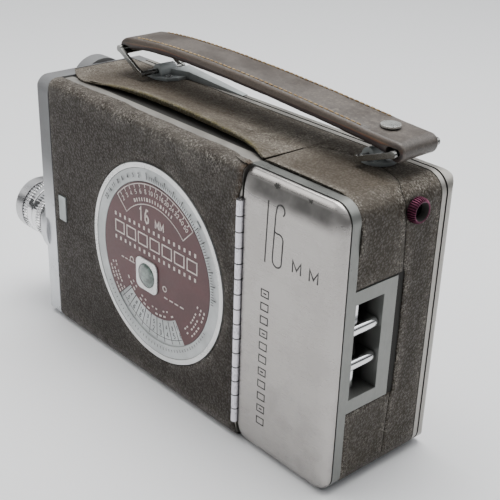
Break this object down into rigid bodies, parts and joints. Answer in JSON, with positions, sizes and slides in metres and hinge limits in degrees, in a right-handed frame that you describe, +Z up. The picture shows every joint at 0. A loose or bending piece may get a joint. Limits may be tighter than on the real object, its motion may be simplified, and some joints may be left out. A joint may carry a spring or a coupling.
{
  "type": "magazine cine camera",
  "caption": "Hand-held 16 mm cine camera with clockwork drive, a hinged film-magazine door, an exposure dial, a finder and a leather carrying strap.",
  "frame": {"origin": "on the axis of the tripod socket, in the plane of the underside", "axes": "+X to the rear, so the lens looks along -X; +Y to the winding-key side, so the exposure dial faces -Y; +Z up"},
  "size_m": [0.2265, 0.0663, 0.139],
  "materials": {
    "painted_front": "hammered silver-grey lacquer",
    "satin_silver": "brushed and clear lacquered",
    "grey_paint": "satin light grey",
    "leather_taupe": "worn grain",
    "leather_brown": "worn, stitched",
    "steel": "satin",
    "chrome": "polished",
    "brass": "machined",
    "maroon": "printed",
    "maroon_alloy": "anodised, knurled",
    "black_paint": "matt black",
    "clear_glass": "coated",
    "white_disc": "printed"
  },
  "bodies": {
    "body": {"body_casting": "painted_front", "body_leather": "leather_taupe", "front_casting": "painted_front", "front_screws": "steel", "side_cover": "painted_front", "side_leather": "leather_taupe", "side_plate": "satin_silver", "side_plate_leather": "leather_taupe", "side_plate_screws": "steel", "tripod_bush": "steel", "hinge_leaf_body": "steel", "hinge_pin": "steel", "dial_bezel": "satin_silver", "dial_face": "maroon", "dial_hub": "satin_silver", "finder_tube": "black_paint", "finder_bezel": "satin_silver", "finder_glass": "clear_glass", "lens_mount_ring": "steel", "lens_barrel": "satin_silver", "lens_front_glass": "clear_glass", "lens_rear_glass": "clear_glass", "film_gate": "steel", "mechanism_frame": "brass", "strap_posts": "steel", "strap_post_screws": "steel", "counter_glass": "clear_glass", "latch_keepers": "steel"},
    "door": {"door_panel": "satin_silver", "door_frame": "grey_paint", "door_leather": "leather_taupe", "hinge_leaf_door": "steel", "magazine_pusher": "steel", "latch_spring_upper": "steel", "latch_spring_lower": "steel"},
    "latch_upper": {"latch_bar_upper": "chrome"},
    "latch_lower": {"latch_bar_lower": "chrome"},
    "exposure_disc": {"dial_disc": "grey_paint"},
    "eyepiece": {"eyepiece": "maroon_alloy", "eyepiece_glass": "clear_glass"},
    "focus_ring": {"focus_ring": "satin_silver"},
    "aperture_ring": {"aperture_ring": "satin_silver"},
    "winding_arbor": {"winding_arbor": "steel"},
    "winding_key": {"winding_key": "satin_silver"},
    "ratchet_pawl": {"ratchet_pawl": "steel"},
    "speed_knob": {"speed_knob": "satin_silver"},
    "run_button": {"run_button": "grey_paint"},
    "counter_disc": {"counter_disc": "white_disc"},
    "spring_barrel": {"spring_barrel": "brass", "mainspring": "steel"},
    "first_wheel": {"first_wheel": "brass"},
    "second_wheel": {"second_wheel": "brass"},
    "shutter_shaft": {"shutter_shaft": "steel"},
    "shutter": {"shutter": "black_paint"},
    "governor": {"governor": "brass"},
    "claw": {"claw": "steel"},
    "strap": {"strap": "leather_brown", "strap_rivet": "chrome"},
    "strap_loop_front": {"strap_loop_front": "steel"},
    "strap_loop_rear": {"strap_loop_rear": "steel"}
  },
  "joints": [
    {"name": "door_hinge", "type": "hinge", "parent": "body", "child": "door", "pos_m": [0.0445, -0.0299, 0.06], "axis": [0, 0, -1], "range_deg": [0, 105]},
    {"name": "latch_upper_slide", "type": "slide", "parent": "door", "child": "latch_upper", "axis": [0, 0, -1], "range_m": [-0.002, 0.004], "deforming": ["latch_spring_upper"]},
    {"name": "latch_lower_slide", "type": "slide", "parent": "door", "child": "latch_lower", "axis": [0, 0, 1], "range_m": [-0.002, 0.004], "deforming": ["latch_spring_lower"]},
    {"name": "exposure_disc_turn", "type": "hinge", "parent": "body", "child": "exposure_disc", "pos_m": [-0.0085, -0.0285, 0.059], "axis": [0, -1, 0], "continuous": true},
    {"name": "eyepiece_focus_turn", "type": "hinge", "parent": "body", "child": "eyepiece", "pos_m": [0.098, 0.007, 0.1108], "axis": [1, 0, 0], "range_deg": [-90, 90]},
    {"name": "focus_ring_turn", "type": "hinge", "parent": "body", "child": "focus_ring", "pos_m": [-0.108, -0.014, 0.044], "axis": [-1, 0, 0], "range_deg": [0, 270]},
    {"name": "aperture_ring_turn", "type": "hinge", "parent": "body", "child": "aperture_ring", "pos_m": [-0.117, -0.014, 0.044], "axis": [-1, 0, 0], "range_deg": [-60, 30]},
    {"name": "winding_turn", "type": "hinge", "parent": "body", "child": "winding_arbor", "pos_m": [0.042, 0.0295, 0.05], "axis": [0, 1, 0], "continuous": true},
    {"name": "winding_key_fold", "type": "hinge", "parent": "winding_arbor", "child": "winding_key", "pos_m": [0.042, 0.0317, 0.05], "axis": [1, 0, 0], "range_deg": [0, 90]},
    {"name": "ratchet_pawl_lift", "type": "hinge", "parent": "body", "child": "ratchet_pawl", "pos_m": [0.02901, 0.0228, 0.0575], "axis": [0, 1, 0], "range_deg": [-15, 0]},
    {"name": "speed_knob_turn", "type": "hinge", "parent": "body", "child": "speed_knob", "pos_m": [-0.038, 0.0325, 0.026], "axis": [0, 1, 0], "range_deg": [-120, 120]},
    {"name": "run_button_press", "type": "slide", "parent": "body", "child": "run_button", "axis": [0, 1, 0], "range_m": [0, 0.0008]},
    {"name": "counter_disc_turn", "type": "hinge", "parent": "body", "child": "counter_disc", "pos_m": [-0.03, 0.026, 0.09], "axis": [0, 1, 0], "range_deg": [0, 330]},
    {"name": "shutter_shaft_spin", "type": "hinge", "parent": "body", "child": "shutter_shaft", "pos_m": [-0.05, 0.008, 0.056], "axis": [1, 0, 0], "continuous": true},
    {"name": "shutter_spin", "type": "hinge", "parent": "body", "child": "shutter", "pos_m": [-0.088, -0.004, 0.056], "axis": [1, 0, 0], "continuous": true},
    {"name": "second_wheel_spin", "type": "hinge", "parent": "body", "child": "second_wheel", "pos_m": [-0.006, 0.012, 0.056], "axis": [0, 1, 0], "continuous": true},
    {"name": "first_wheel_spin", "type": "hinge", "parent": "body", "child": "first_wheel", "pos_m": [0.00869, 0.012, 0.0456], "axis": [0, 1, 0], "continuous": true},
    {"name": "spring_barrel_spin", "type": "hinge", "parent": "body", "child": "spring_barrel", "pos_m": [0.042, 0.012, 0.05], "axis": [0, 1, 0], "continuous": true},
    {"name": "governor_spin", "type": "hinge", "parent": "body", "child": "governor", "pos_m": [0.00253, 0.012, 0.02868], "axis": [0, 1, 0], "continuous": true},
    {"name": "claw_stroke", "type": "slide", "parent": "body", "child": "claw", "axis": [0, 0, 1], "range_m": [-0.0038, 0.0038]},
    {"name": "strap_lift", "type": "slide", "parent": "body", "child": "strap", "axis": [0, 0, 1], "range_m": [0, 0.005]},
    {"name": "strap_loop_front_swing", "type": "hinge", "parent": "body", "child": "strap_loop_front", "pos_m": [-0.06, 0.014, 0.1232], "axis": [0, 1, 0], "range_deg": [0, 21.5]},
    {"name": "strap_loop_rear_swing", "type": "hinge", "parent": "body", "child": "strap_loop_rear", "pos_m": [0.071, 0.014, 0.1232], "axis": [0, -1, 0], "range_deg": [0, 21.5]}
  ],
  "couplings": [
    {"joint": "shutter_shaft_spin", "follows": "shutter_spin", "ratio": -1},
    {"joint": "second_wheel_spin", "follows": "shutter_spin", "ratio": -0.33333},
    {"joint": "first_wheel_spin", "follows": "shutter_spin", "ratio": 0.083333},
    {"joint": "spring_barrel_spin", "follows": "shutter_spin", "ratio": -0.013889},
    {"joint": "governor_spin", "follows": "shutter_spin", "ratio": -0.33333},
    {"joint": "strap_loop_front_swing", "follows": "strap_lift", "rad_per_m": 73.304},
    {"joint": "strap_loop_rear_swing", "follows": "strap_lift", "rad_per_m": 69.115}
  ]
}
